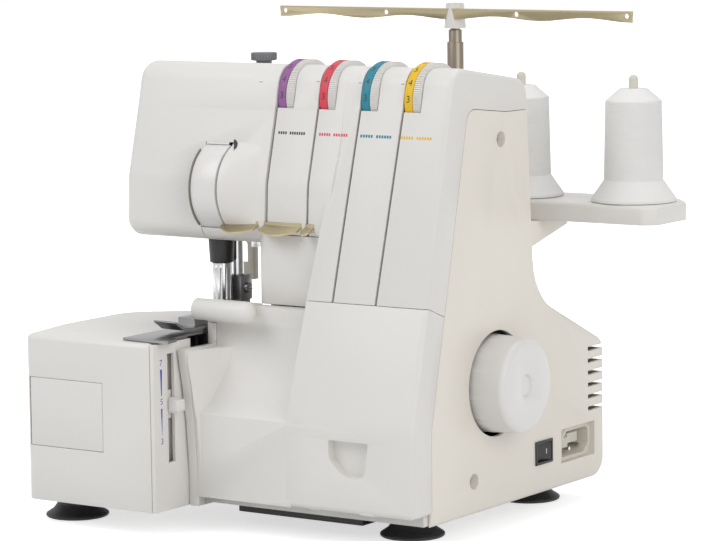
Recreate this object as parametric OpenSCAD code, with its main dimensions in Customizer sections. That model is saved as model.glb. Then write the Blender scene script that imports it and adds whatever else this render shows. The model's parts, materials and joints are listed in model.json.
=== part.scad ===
// Four-thread serger (overlock) machine with its spool stand.
// Body datum: the lower front corner of the right-hand wall. X runs right, Y back, Z up from the base.
// The whole model is then shifted so that its origin is the bottom centre of its bounding box.

/* [Machine body] */
// Height of the body's top above its base
body_h = 275.6; // [272:0.2:279]
// Depth of the lower body, front lip to back wall
body_depth = 230.2; // [226:0.2:236]
// Width of the lower body, right wall to the bed
body_w = 168; // [167:0.5:168.5]
// Wall of the moulded covers
wall = 2.8; // [2.4:0.1:3.2]
// Seam between two covers
seam = 0.4; // [0.3:0.05:0.6]

/* [Head] */
// Distance of the head's left end from the right wall
head_w = 240; // [234:1:244]
// Underside of the head above the base
head_z = 164.7; // [162:0.1:167]

/* [Bed] */
// Top of the extension table above the base
table_h = 107; // [106:0.2:107.2]
// Free length that the extension table slides off
table_travel = 96; // [80:1:120]

/* [Tension dials] */
// Distance between two dials
dial_pitch = 31.3; // [30:0.1:32]
// Outer radius of a dial
dial_r = 23; // [22:0.1:23.2]
// Grip teeth round a dial
dial_teeth = 44; // [30:1:60]

/* [Handwheel] */
// Radius of the handwheel
wheel_r = 31; // [28:0.5:32]
// How far the handwheel stands out of the right wall
wheel_out = 22; // [18:0.5:26]

/* [Spool stand] */
// Length of the spool tray
tray_w = 324; // [322:1:326]
// Top of the spool tray above the base
tray_z = 186; // [184:0.5:190]
// Length of the thread guide bar
bar_w = 270; // [264:1:276]
// Height of the thread guide bar above the base, pole pushed in
bar_z = 303; // [300:0.5:306]

/* [Feet] */
// Height of a suction foot
foot_h = 15; // [12:0.5:18]
// Radius of a suction foot's rim
foot_r = 20.3; // [18:0.1:22]

/* [Hidden] */
$fn = 64;

// Colours
white = [0.93, 0.92, 0.9];
cream = [0.9, 0.87, 0.8];
steel = [0.7, 0.7, 0.72];
dark_steel = [0.3, 0.3, 0.32];
black = [0.08, 0.08, 0.09];
gold = [0.72, 0.65, 0.4];
casting = [0.6, 0.62, 0.64];
dial_colours = [[0.5, 0.28, 0.58], [0.83, 0.2, 0.28], [0.05, 0.5, 0.55], [0.95, 0.75, 0.05]];

// Places in the body frame
front_y = -20.6;              // front face of the lower body
back_y = front_y + body_depth;
table_left = -281;
table_front = -53.5;
tray_right = 75;
datum = [-(table_left + tray_right) / 2, -(table_front + back_y) / 2, foot_h];
fit = 0.05;                   // radial clearance of a running fit
shaft_y = 76;                 // main shaft
shaft_z = 78.5;
shaft_r = 5;
needle_x = -177;              // needle bar
needle_y = 30;
presser_x = -175;             // presser bar
presser_y = 44;
knob_x = -163;                // presser pressure knob
knob_y = 60;
stand_y = 168;                // spool pins and pole
pole_x = -87;
pin_xs = [45.5, -37, -137, -219];
dial_xs = [for (i = [0 : 3]) -127.7 + i * dial_pitch];
dial_w = 13.5;                // slot width
dial_y = 46.5;                // dial axis
dial_z = body_h - 19.6;
slot_z = body_h - 25.9;       // lower end of a dial slot
seam_z = 134;                 // seam between upper and lower front covers
lean = 0.232;                 // how far the front leans back for each millimetre of height
motor_y = 160;
motor_z = 48;
belt_x = -22;                 // belt plane
main_pulley_r = 24;
motor_pulley_r = 8;
hinge_y = front_y + 7.5;      // looper cover hinge
hinge_z = 10;
take_up_y = 28.5;
take_up_z = 198;
take_up_r = 30;
inlet_y = 174.8;
inlet_z = 26.5;
switch_y = 131.4;
switch_z = 26.6;

// ---------- outline helpers ----------
function unit(v) = v / norm(v);
function left_of(v) = [-v.y, v.x];
function turn(a, b, c) = (b.x - a.x) * (c.y - b.y) - (b.y - a.y) * (c.x - b.x);
function at(list, i) = list[(i + len(list)) % len(list)];
function flat(p) = [p.x, p.y];

// Points of the arc that rounds corner b between neighbours a and c
function corner(a, b, c, r, n) =
    r == 0 ? [b] :
    let (u = unit(a - b), v = unit(c - b), half = acos(u * v) / 2,
         centre = b + unit(u + v) * r / sin(half),
         s = b + u * r / tan(half) - centre, e = b + v * r / tan(half) - centre,
         start = atan2(s.y, s.x), sweep = ((atan2(e.y, e.x) - start + 540) % 360) - 180)
    [for (i = [0 : n]) centre + r * [cos(start + sweep * i / n), sin(start + sweep * i / n)]];

// A closed outline from corners [x, y, radius], counter-clockwise
function rounded(pts, n = 6) =
    [for (i = [0 : len(pts) - 1])
        each corner(flat(at(pts, i - 1)), flat(pts[i]), flat(at(pts, i + 1)), pts[i][2], n)];

// The same corners moved inwards by t, with their radii kept concentric
function inset(pts, t) =
    [for (i = [0 : len(pts) - 1])
        let (a = flat(at(pts, i - 1)), b = flat(pts[i]), c = flat(at(pts, i + 1)), r = pts[i][2],
             n1 = left_of(unit(b - a)), n2 = left_of(unit(c - b)), m = unit(n1 + n2), p = b + m * t / (m * n1))
        [p.x, p.y, r == 0 ? 0 : turn(a, b, c) > 0 ? max(r - t, 0.2) : r + t]];

// Children drawn in (Y, Z) and extruded from x0 to x1
module along_x(x0, x1) translate([x0, 0, 0]) rotate([90, 0, 90]) linear_extrude(x1 - x0) children();
// Children drawn in (X, Z) and extruded from y0 to y1
module along_y(y0, y1) translate([0, y1, 0]) rotate([90, 0, 0]) linear_extrude(y1 - y0) children();
module along_z(z0, z1) translate([0, 0, z0]) linear_extrude(z1 - z0) children();
module box(lo, hi) translate(lo) cube(hi - lo);
module rod_x(x0, x1, y, z, r) translate([x0, y, z]) rotate([0, 90, 0]) cylinder(r = r, h = x1 - x0);
module rod_y(y0, y1, x, z, r) translate([x, y1, z]) rotate([90, 0, 0]) cylinder(r = r, h = y1 - y0);
module rod_z(z0, z1, x, y, r) translate([x, y, z0]) cylinder(r = r, h = z1 - z0);
module at_body() translate(datum) children();

// A solid through rings of equally many points, closed at both ends
module loft(rings) {
    n = len(rings[0]);
    last = len(rings) - 1;
    sides = [for (k = [0 : last - 1], i = [0 : n - 1])
        let (a = k * n + i, b = k * n + (i + 1) % n, c = b + n, d = a + n) each [[a, d, c], [a, c, b]]];
    ends = [[for (i = [0 : n - 1]) i], [for (i = [n - 1 : -1 : 0]) last * n + i]];
    polyhedron([for (ring = rings) each ring], concat(sides, ends), convexity = 8);
}

// How far a quarter-round edge of radius r has turned in, in steps
function edge_steps(r, n = 4) = [for (i = [0 : n]) [r * sin(90 * i / n), r * (1 - cos(90 * i / n))]];

// An outline in (Y, Z) as a solid from x0 to x1, its edge rounded at the end x1
module soft_prism_x(pts, x0, x1, r) {
    s = x1 > x0 ? 1 : -1;
    rings = concat([[x0, 0]], [for (e = edge_steps(r)) [x1 - s * (r - e.x), e.y]]);
    ordered = s > 0 ? rings : [for (i = [len(rings) - 1 : -1 : 0]) rings[i]];
    loft([for (g = ordered) [for (p = rounded(inset(pts, g.y))) [g.x, p.x, p.y]]]);
}

// An outline in (X, Y) as a solid from z0 to z1, its upper edge rounded
module soft_prism_z(pts, z0, z1, r) {
    rings = concat([[z0, 0]], [for (e = edge_steps(r)) [z1 - r + e.x, e.y]]);
    loft([for (g = rings) [for (p = rounded(inset(pts, g.y))) [p.x, p.y, g.x]]]);
}

// ---------- outlines of the body ----------
top_front = [front_y + (body_h + 2.2 - 62) * lean, body_h + 2.2, 14];
top_back = [114.6, body_h - 10.4, 12];

// Side silhouette of the right-hand block
block_outline = [[0, 0, 0], [back_y, 0, 13], [back_y, 89.4, 10], [123.5, 128, 40], top_back, top_front,
    [front_y, 62, 40], [front_y, 7.5, 4], [-1, 7.5, 0]];
// Side silhouette of the head
head_outline = [[9, head_z, 12], [112, head_z, 10], top_back, top_front,
    [22.3, body_h - 28, 50], [10.8, 203, 45]];
// The scooped left part of the front is an arc about (scoop_y, scoop_z), from the crease up to a lid
scoop_r = 62.3;
scoop_y = -60.3;
scoop_z = 108;
crease_z = 60;
lid_z = 127.3;
column_x = -135;
column_y = 10;
column_top = 171.6;           // the column's front runs on up into the head
rim_x = -161.5;               // right end of the fixed rim beside the looper cover
rim_z = 114.6;
function scoop_arc(r, z0, z1) = [for (i = [0 : 10]) let (z = z0 + (z1 - z0) * i / 10)
    [scoop_y + sqrt(r * r - (z - scoop_z) * (z - scoop_z)), z]];
// Front edge of the right cover, in (Y, Z): all that lies behind it belongs to the cover
panel_line = [[0, -1, 0], [0, 58, 60], [44.5, body_h - 24.4, 9], [90, body_h - 29.2, 40],
    [130, body_h - 29.2, 0], [230, body_h - 29.2, 0], [230, -1, 0]];
// Left edge of the block, in (X, Z)
block_edge = [[-93.4, 0], [-93.4, 55], [-88, seam_z], [-79, 225], [-79, 300]];

// Section of the scooped wall and its lid above z0
module scoop_section(z0) intersection() {
    difference() {
        polygon(concat([[front_y, 0], [column_y - seam, 0], [column_y - seam, lid_z]],
            scoop_arc(scoop_r, lid_z, crease_z)));
        polygon(concat([[front_y + wall, -1], [column_y + 1, -1], [column_y + 1, lid_z - wall]],
            scoop_arc(scoop_r + wall, lid_z - wall, crease_z + 1)));
    }
    translate([-60, z0]) square([120, 200]);
}

// Everything below the seam between the upper and lower front covers, which falls towards the back
module below_seam(d) along_x(-200, 3) polygon([[-60, -5], [60, -5], [60, seam_z - 23.6 + d],
    [-2, seam_z + d], [-60, seam_z + d]]);

module block_shell() difference() {
    soft_prism_x(block_outline, -body_w, 0, 3.5);
    along_x(-body_w - 1, -wall) {
        polygon(rounded(inset(block_outline, wall)));
        translate([-0.5, -1]) square([back_y + 0.5 - wall, 20]);
    }
}

module head_shell(left, right) difference() {
    soft_prism_x(head_outline, right, left, 8);
    along_x(left + wall, right + 1) polygon(rounded(inset(head_outline, wall)));
}

// Everything right of the block's left edge, moved right by d
module right_of_block_edge(d, z0, z1) intersection() {
    along_y(-60, 60) polygon(concat([for (p = block_edge) [p.x + d, p.y]], [[10, 300], [10, 0]]));
    box([-130, -60, z0], [10, 60, z1]);
}

// The block's own left wall, from its front face back to y1
module block_left_wall(z0, z1, y1) intersection() {
    along_x(-94, -70) polygon(rounded(block_outline));
    difference() {
        right_of_block_edge(0, z0, z1);
        right_of_block_edge(wall, z0 - 1, z1 + 1);
    }
    box([-100, front_y - 1, z0], [0, y1, z1]);
}

module front_of_panel_line(z0, z1, clear) difference() {
    box([-140, front_y - 2, z0], [1, 240, z1]);
    along_x(-30, 2) polygon(rounded([for (p = panel_line) [p.x - (p.x > 200 ? 0 : clear), p.y + (p.y > 200 ? clear : 0), p[2]]]));
}

// ---------- fixed covers ----------
vent_zs = [for (i = [0 : 5]) 46.2 + i * 7.84];
screw_spots = [[47.9, 20.9], [82.2, 230.1]];

module vent_cuts() for (z = vent_zs) {
    box([-24, back_y - 6, z - 1.4], [-6, back_y + 1, z + 1.4]);
    box([-7, 188, z - 1.4], [1, back_y + 1, z + 1.4]);
}

module right_cover() color(cream) at_body() difference() {
    union() {
        intersection() {
            block_shell();
            along_x(-30, 1) polygon(rounded(panel_line));
        }
        for (s = screw_spots) rod_x(-10.5, -1, s.x, s.y, 7.5);
        box([-8, 10, 9], [-2, 196, 12]);
    }
    rod_x(-10, 1, shaft_y, shaft_z, 33.3);
    box([-5, switch_y - 9.8, switch_z - 7.1], [1, switch_y + 9.8, switch_z + 7.1]);
    box([-5, inlet_y - 21.3, inlet_z - 11], [1, inlet_y + 21.3, inlet_z + 11]);
    for (s = screw_spots) {
        rod_x(-8, 1, s.x, s.y, 5);
        rod_x(-12, 1, s.x, s.y, 2);
    }
    vent_cuts();
}

module rear_cover() color(cream) at_body() {
    intersection() {
        union() {
            block_shell();
            // left walls and the strip of bed behind the needle plate
            along_x(-body_w, -body_w + wall) polygon(rounded(block_outline));
            intersection() {
                along_x(column_x, column_x + wall) polygon(rounded(block_outline));
                box([column_x, 0, table_h - 5], [0, 240, 300]);
            }
            intersection() {
                box([-body_w, 72.6, table_h - wall - 0.5], [column_x, 200, table_h - 0.5]);
                along_x(-body_w, column_x) polygon(rounded(block_outline));
            }
        }
        along_y(72.6, 240) polygon([[-body_w, 0], [-30 - seam, 0], [-30 - seam, body_h - 30],
            [-88.6, body_h - 30], [-88.6, 164], [column_x, 164], [column_x, table_h - 0.5],
            [-body_w, table_h - 0.5]]);
        difference() {
            box([-body_w, 72, 0], [0, 240, 300]);
            box([column_x - 1, 70, 0], [column_x + 4, 116.4, 104]);
            box([column_x - 1, 70, 103], [-88, 116.4, 170]);
        }
    }
    box([-150, 190, 9], [-40, 207.5, 12]);
}

column_outline = [[column_x, column_y, 6], [-76, column_y, 0], [-76, 116, 0], [column_x, 116, 8]];
module column_cover() color(white) at_body() difference() {
    union() {
        along_z(table_h - 0.3, head_z) polygon(rounded(column_outline));
        along_z(head_z - 1, column_top) intersection() {
            polygon(rounded(column_outline));
            translate([column_x, column_y]) square([-85.5 - column_x, 12]);
        }
    }
    along_z(table_h - 1, column_top + 1) polygon(rounded(inset(column_outline, wall)));
    box([-91.6, column_y + wall, table_h - 1], [-70, 120, column_top + 1]);
    box([column_x - 1, column_y - 1, table_h - 1], [-70, 24, lid_z + seam]);
}

module dial_slots() for (x = dial_xs) {
    box([x, -10, slot_z], [x + dial_w, 68, body_h + 5]);
    rod_x(x, x + dial_w, dial_y, dial_z, dial_r + seam);
}

// A thread slit that runs from a dial slot down to (x1, z1)
module slit(x0, x1, z1) along_y(-12, 40)
    polygon([[x0 - 0.2, slot_z + 1], [x1 - 0.2, z1], [x1 + 1.5, z1], [x0 + 1.5, slot_z + 1]]);

module tension_cover() color(white) at_body() difference() {
    union() {
        difference() {
            union() {
                intersection() {
                    block_shell();
                    front_of_panel_line(100, body_h + 5, seam);
                    right_of_block_edge_deep(100, body_h + 5);
                }
                block_left_wall(100, head_z - seam, column_y - seam);
            }
            below_seam(seam / 2);
        }
        block_left_wall(head_z, 215, 23.6);
        intersection() {
            difference() {
                along_x(dial_xs[0] - 0.3, -70) polygon(rounded(head_outline));
                along_x(dial_xs[0] - 1, -70) polygon(rounded(inset(head_outline, wall)));
            }
            left_of_block_edge();
        }
    }
    dial_slots();
    slit(dial_xs[0], -127.7, head_z - 5);
    slit(dial_xs[1], -97, head_z - 5);
    slit(dial_xs[2], -69.4, seam_z - 1);
    slit(dial_xs[3], -37.8, seam_z - 1);
    // room for the rear cover, the column's top and the casting out of the column
    box([-100, 72.6 - seam, 90], [-30, 240, body_h - 30 + seam]);
    column_room();
    box([-127.4, 22, head_z - 2], [-85, 108, head_z + wall + 1]);
    guide_seats();
}

module column_room() box([column_x - seam, -20, head_z - 1], [-85.1, 22 + seam, column_top + seam]);

module right_of_block_edge_deep(z0, z1) intersection() {
    along_y(-60, 240) polygon(concat(block_edge, [[10, 300], [10, 0]]));
    box([-130, -60, z0], [10, 240, z1]);
}

module left_of_block_edge() along_y(-60, 240)
    polygon(concat([for (i = [len(block_edge) - 1 : -1 : 0]) [block_edge[i].x + wall, block_edge[i].y]],
        [[-200, 0], [-200, 300]]));

// Bulge beside the take-up lever, falling away to the right
module lever_cheek() intersection() {
    translate([-156.8, take_up_y, take_up_z]) rotate([0, 90, 0]) cylinder(r1 = take_up_r, r2 = 16, h = 24.8);
    box([-157, -5, 181.5], [-132, 13, 226]);
}

module face_cover() color(white) at_body() difference() {
    union() {
        head_shell(-head_w, dial_xs[0] - 0.3 - seam);
        lever_cheek();
    }
    // window of the take-up lever, and the ways of the bars and the pressure knob
    box([-178.2, -5, 166], [-156.8, 22, 227.4]);
    box([-156.9, 0, 219], [-151, 30, 227]);
    rod_z(head_z - 1, head_z + 5, needle_x, needle_y, 7);
    rod_z(head_z - 1, head_z + 5, presser_x, presser_y, 6);
    rod_z(body_h - 12, body_h + 2, knob_x, knob_y, 5.6);
    box([-200.4, 93, head_z - 1], [-195.6, 107, head_z + 5]);
    column_room();
    guide_seats();
}

table_outline = [[-172.6, table_front, 0], [-172.6, 90, 0], [-243, 90, 14], [-281, 62, 28],
    [-281, -4, 40], [-272, table_front, 7]];
door_lo = [-270, 36];
door_hi = [-210, 80];
door_pin_x = -266.5;
door_barrel_r = 2.3;

module extension_table() color(white) at_body() {
    difference() {
        soft_prism_z(table_outline, 1, table_h, 3.5);
        along_z(0, table_h - wall) polygon(rounded(inset(table_outline, wall)));
        box([-176, table_front + wall, 0], [-170, 90 - wall, table_h - wall]);
        box([-197.7, -12, table_h - 5], [-170, 72.4, table_h + 1]);
        box([door_pin_x - 2.6, table_front - 1, door_lo.y],
            [door_hi.x, table_front + wall + 2, door_hi.y]);
    }
    for (z = [door_lo.y - 2, door_hi.y - 4]) rod_z(z, z + 6, door_pin_x, table_front + door_barrel_r, 1);
}

module accessory_door() color(white) at_body() difference() {
    union() {
        box([door_pin_x, table_front, door_lo.y + 0.3], [door_hi.x - 0.3, table_front + 2, door_hi.y - 0.3]);
        rod_z(door_lo.y + 0.3, door_hi.y - 0.3, door_pin_x, table_front + door_barrel_r, door_barrel_r);
        box([door_hi.x - 6, table_front + 1.5, 54], [door_hi.x - 2, table_front + 5, 62]);
    }
    rod_z(door_lo.y - 1, door_hi.y + 1, door_pin_x, table_front + door_barrel_r, 1 + fit);
}

module free_arm() color(white) at_body() difference() {
    soft_prism_z([[-262, -6, 10], [-176, -6, 0], [-176, 62, 0], [-262, 62, 20]], 9, table_h - wall - 0.3, 3);
    box([-250, -2, 8], [-170, 58, table_h - 7]);
    box([-198, -7, table_h - 14], [-170, 63, table_h]);
    box([-191.5, 44, 30], [-170, 63, 50]);
}

// Fixed end of the bed: the slotted panel of the width slider and the rim beside the looper cover
rim_front = [[-20.2, 1], [-19.9, 17.1], [-21.4, 36.5], [-22.9, 56.4], [-24.7, 65.5], [-26.3, 78.4],
    [-29, 91.4], [-30.8, 101.1]];
module slider_panel() color(white) at_body() difference() {
    union() {
        box([-172.2, table_front, 1], [-169.5, -14.6, table_h - 0.6]);
        along_x(-body_w, rim_x) {
            polygon(concat(rim_front, [[9, 101.1], [9, 96], [-13, 96], [-13, 1]]));
            polygon([[1.5, 96], [9, 96], [9, rim_z], [1.5, rim_z]]);
        }
        box([-172.2, -18.6, 1], [rim_x, -13, 96]);
    }
    box([-173, -39, 31], [-168.5, -32, 99.5]);
}

module width_slider() color(white) at_body() {
    box([-173.8, -38.6, 62.6], [-166, -32.4, 71.8]);
    box([-169.2, -39.5, 63.6], [-161.9, -31.5, 70.8]);
    box([-175.4, -43, 58], [-172.7, -28, 76]);
}

// ---------- base ----------
foot_spots = [[-260.9, -17.6], [-39.3, 38], [-39.3, 178], [-148, 178]];
base_outline = [[-269, -42, 6], [-174.5, -42, 0], [-174.5, -12.6, 0], [-161.5, -12.6, 0],
    [-161.5, -4.6, 0], [-3.4, -4.6, 0], [-3.4, 200, 8],
    [-body_w + wall + 0.6, 200, 8], [-body_w + wall + 0.6, 72.4, 0], [-269, 72.4, 16]];
module base_tray() color(white) at_body() difference() {
    union() {
        along_z(1, 9) polygon(rounded(base_outline));
        // lugs that carry the hinge rod
        for (x = [-124, -80]) {
            rod_x(x, x + 8, hinge_y, hinge_z, 4);
            box([x, hinge_y, hinge_z - 3], [x + 8, -1, hinge_z + 4]);
        }
    }
    rod_x(-126, -70, hinge_y, hinge_z, 2 + fit);
    for (f = foot_spots) rod_z(0, 10, f.x, f.y, 3);
    box([-154, 20, 4], [-64, 112, 10]);
}

module bottom_pan() color(black) at_body() difference() {
    box([-156, 15, -7.5], [-61, 118, 1]);
    box([-153, 18, -5.5], [-64, 115, 2]);
}

module feet() color(black) at_body() for (f = foot_spots) translate([f.x, f.y, -foot_h]) {
    rotate_extrude() polygon([[0, 1.5], [10, 1.5], [13, 0], [foot_r - 1, 0], [foot_r, 0.8], [foot_r, 2], [15.5, 5.2], [13, 8.5],
        [13, foot_h + 1], [2.9, foot_h + 1], [2.9, foot_h + 8], [0, foot_h + 8]]);
}

// ---------- casting and bearings ----------
plate_screw_x = -155;
plate_screw_ys = [30, 62];
module frame_casting() color(casting) at_body() difference() {
    union() {
        // bed plate, right bearing wall and column
        box([-160, 26, 9], [-34, 125, 17]);
        box([-40, 50, 9], [-34, 102, 104]);
        box([-126, 36, 9], [-104, 104, 200]);
        box([-126, 62, 190], [-104, 104, 236]);
        // left bearing wall with the looper, feed and knife brackets
        box([-162, 42, 9], [-156, 104, 100]);
        box([-192, 48, 34], [-160, 54, 46]);
        box([-162, 8, 66], [-156, 44, 78]);
        box([-186, 8, 66], [-160, 20, 78]);
        box([-171, 23, 66], [-160, 41, 74]);
        box([-162.5, 18, 96], [-148, 71, table_h + 0.4]);
        // arm, the two bridges that guide the bars, and the dial lugs
        box([-225, 70, 178], [-104, 108, 236]);
        for (z = [[176, 182], [204, 212]]) {
            box([-185, 22, z[0]], [-166, 46, z[1]]);
            box([-185, 45, z[0]], [-150, 72, z[1]]);
        }
        box([-156.9, 25, 195], [-150, 72, 201]);
        rod_x(-162, -150, take_up_y, take_up_z, 3);
        rod_z(206, 268, knob_x, knob_y, 8);
        box([-106, 62, 200], [-11, 80, 232]);
        for (x = dial_xs) {
            box([x + dial_w + 5, dial_y - 6, dial_z - 8], [x + dial_w + 9, 78, dial_z + 6]);
            box([x + dial_w + 5, 71, 230], [x + dial_w + 9, 78, dial_z - 7]);
        }
        rod_x(-44, -30, shaft_y, shaft_z, 12);
        rod_x(-164, -150, shaft_y, shaft_z, 12);
    }
    rod_x(-170, -20, shaft_y, shaft_z, 8);
    box([-126.5, 58, 50], [-103, 94, 104]);
    rod_z(160, 240, needle_x, needle_y, 5.5);
    rod_z(160, 240, presser_x, presser_y, 5.5);
    rod_z(240, 262, knob_x, knob_y, 4.6);
    rod_z(261.9, 270, knob_x, knob_y, 5 + fit);
    rod_x(-163, -155, 60, 60, 4 + fit);
    rod_y(47, 55, -186, 40, 4 + fit);
    rod_z(65, 79, -180, 14, 3 + fit);
    box([-168 - fit, 28 - fit, 65], [-164 + fit, 34 + fit, 75]);
    for (x = dial_xs) rod_x(x + dial_w + 4, x + dial_w + 10, dial_y, dial_z, 3);
    for (y = plate_screw_ys) rod_z(90, 112, plate_screw_x, y, 2);
}

module bush_x(x0, x1) difference() {
    rod_x(x0, x1, shaft_y, shaft_z, 8);
    rod_x(x0 - 1, x1 + 1, shaft_y, shaft_z, shaft_r + fit);
}
module bush_z(z0, z1, x, y, r) difference() {
    rod_z(z0, z1, x, y, 5.5);
    rod_z(z0 - 1, z1 + 1, x, y, r + fit);
}
module plain_bushes() color([0.75, 0.6, 0.35]) at_body() {
    bush_x(-44, -30);
    bush_x(-164, -150);
    for (z = [[176, 182], [204, 212]]) {
        bush_z(z[0], z[1], needle_x, needle_y, 3.6);
        bush_z(z[0], z[1], presser_x, presser_y, 4);
    }
}

// ---------- drive ----------
wheel_profile = concat([[0, wheel_out - 2.5], [6, wheel_out - 2.5], [7, wheel_out - 0.6], [8.5, wheel_out]],
    [for (a = [90 : -15 : 0]) [wheel_r - 5.5 + 4 * cos(a), wheel_out - 4 + 4 * sin(a)]],
    [[wheel_r, -9], [wheel_r - 4, -9], [wheel_r - 5, wheel_out - 10], [11, wheel_out - 10], [11, -11],
     [shaft_r, -11], [shaft_r, wheel_out - 8], [0, wheel_out - 8]]);
module handwheel() color(white) at_body() translate([0, shaft_y, shaft_z]) rotate([0, 90, 0])
    rotate_extrude($fn = 96) polygon(wheel_profile);

module main_shaft() color(steel) at_body() {
    rod_x(-164, wheel_out - 8, shaft_y, shaft_z, shaft_r);
    // looper and feed eccentrics
    for (e = [[-106, 3], [-96, -3], [-72, 4], [-60, -3]])
        translate([0, shaft_y, shaft_z]) rod_x(e[0], e[0] + 7, 0, e[1], 10);
}

module shaft_pulley() color(black) at_body() difference() {
    union() {
        rod_x(belt_x - 4.5, belt_x + 4.5, shaft_y, shaft_z, main_pulley_r);
        for (x = [belt_x - 6, belt_x + 4.5]) rod_x(x, x + 1.5, shaft_y, shaft_z, main_pulley_r + 3);
    }
    rod_x(belt_x - 8, belt_x + 8, shaft_y, shaft_z, shaft_r);
}

module motor() color(dark_steel) at_body() difference() {
    union() {
        rod_x(-128, -40, motor_y, motor_z, 30);
        rod_x(-40, -34, motor_y, motor_z, 12);
        box([-118, motor_y - 24, 9], [-50, motor_y + 24, 30]);
    }
    rod_x(-60, -30, motor_y, motor_z, 3 + fit);
}

module motor_pulley() color(steel) at_body() {
    rod_x(-59, belt_x + 6, motor_y, motor_z, 3);
    rod_x(belt_x - 4.5, belt_x + 4.5, motor_y, motor_z, motor_pulley_r);
    for (x = [belt_x - 6, belt_x + 4.5]) rod_x(x, x + 1.5, motor_y, motor_z, motor_pulley_r + 3);
}

// Belt loop: two tangent runs and two wraps, as a ring of even thickness
belt_run = [motor_y - shaft_y, motor_z - shaft_z];
module belt_area(extra) hull() {
    translate([shaft_y, shaft_z]) circle(r = main_pulley_r + 0.1 + extra, $fn = 48);
    translate([motor_y, motor_z]) circle(r = motor_pulley_r + 0.1 + extra, $fn = 48);
}
module drive_belt() color(black) at_body() along_x(belt_x - 4, belt_x + 4) difference() {
    belt_area(1.6);
    belt_area(0);
}

// ---------- switch and inlet ----------
module switch_bezel() color(black) at_body() translate([0, switch_y, switch_z]) {
    difference() {
        union() {
            box([-16, -9.7, -7], [0.4, 9.7, 7]);
            box([0, -10.4, -7.6], [0.9, 10.4, 7.6]);
        }
        box([-14, -8.8, -6], [1, 8.8, 6]);
    }
    rod_z(-6.5, 6.5, -4, 0, 1);
}

// The rocker's two ends lie on a circle about its pin; it is drawn pressed in on the O side
rocker_tilt = 8;
module switch_rocker() color(black) at_body() translate([-4, switch_y, switch_z]) rotate(-rocker_tilt)
    difference() {
        along_z(-5.7, 5.7) polygon([[-3, -4], [-3, 4], [0.5, 7.9], [4.03, 8.16], [2.4, 0], [4.03, -8.16],
            [0.5, -7.9]]);
        rod_z(-7, 7, 0, 0, 1 + fit);
    }

inlet_outline = [[-19, -10.5, 0], [12, -10.5, 0], [19, -4, 0], [19, 7, 0], [15, 10.5, 0], [-12, 10.5, 0],
    [-19, 3, 0]];
module power_inlet() color(cream) at_body() translate([0, inlet_y, inlet_z]) difference() {
    union() {
        box([-26, -21, -10.2], [-8, 21, 10.2]);
        box([-9, -23.2, -12.6], [-2.8, 23.2, 12.6]);
        along_x(-9, -2.2) polygon(rounded(inlet_outline));
    }
    difference() {
        along_x(-22, 1) polygon(rounded(inset(inlet_outline, 2.4)));
        // the stepped core that keys the plug
        box([-23, -13, -3.5], [-6, -3, 3]);
        box([-23, -3.5, -1], [-6, 9, 5.5]);
    }
}
module inlet_pins() color(steel) at_body() translate([0, inlet_y, inlet_z])
    for (p = [[-14.8, -5], [0, -5], [12, -4]]) rod_x(-22, -6.5, p.x, p.y, 1.2);

// ---------- needle and presser side ----------
needle_travel = 24;
module needle_bar() color(steel) at_body() rod_z(147, 218, needle_x, needle_y, 3.6);
module needle_clamp() color(steel) at_body() difference() {
    rod_z(123, 149, needle_x, needle_y, 6.2);
    for (a = [0 : 30 : 330]) translate([needle_x, needle_y, 0]) rotate(a) rod_z(126, 146, 6.6, 0, 0.8);
    rod_z(147, 150, needle_x, needle_y, 3.6);
    for (x = needle_xs) rod_z(122, 134, x, needle_y, 0.9);
}
needle_xs = [needle_x - 2, needle_x + 2];
module needles() color(steel) at_body() for (x = needle_xs) {
    rod_z(112, 134, x, needle_y, 0.9);
    translate([x, needle_y, 102]) cylinder(r1 = 0.1, r2 = 0.6, h = 10.1);
}
// Tapered sleeve that the needle clamp rises into
module needle_guard() color(black) at_body() translate([needle_x, needle_y, 0]) rotate_extrude()
    polygon([[6.7, 149.5], [7.6, 149.5], [8.4, head_z], [7, head_z], [7, head_z + 2.4], [6.7, head_z + 2.4]]);

module take_up_lever() color(white) at_body() translate([0, take_up_y, take_up_z]) {
    difference() {
        intersection() {
            rod_x(-177.6, -157.4, 0, 0, take_up_r);
            along_x(-180, -150) polygon(concat([[0, 0]],
                [for (a = [112 : 13 : 250]) 40 * [cos(a), sin(a)]]));
        }
        rod_x(-180, -160.4, 0, 0, take_up_r - 3);
        rod_x(-162, -150, 0, 0, 3 + fit);
    }
    difference() {
        rod_x(-160.4, -157.4, 0, 0, 7);
        rod_x(-162, -150, 0, 0, 3 + fit);
    }
}

module presser_bar() color(steel) at_body() rod_z(130, 238, presser_x, presser_y, 4);
module presser_foot() color(dark_steel) at_body() difference() {
    union() {
        // clamp block with its screw, and the ankle
        box([-181, 38, 124], [-168, 50, 140]);
        rod_x(-168.5, -165.4, 44, 132, 3.2);
        box([-181, 40, 112], [-169.5, 50, 125]);
        // sole with its turned-up toe, and the block that holds the toe
        along_x(-186, -169) polygon([[63, 112.8], [-14, 112.8], [-22, 114.2], [-30, 118.6], [-31, 117.8],
            [-22.5, 112.4], [-14, 110.6], [63, 110.6]]);
        box([-184, -8, 111.5], [-171, 8, 118]);
    }
    rod_z(130, 141, presser_x, presser_y, 4);
    box([-181.5, 26, 109], [-172.5, 36, 125]);
    box([-166.6, 40, 131.5], [-165, 48, 132.5]);
}

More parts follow.
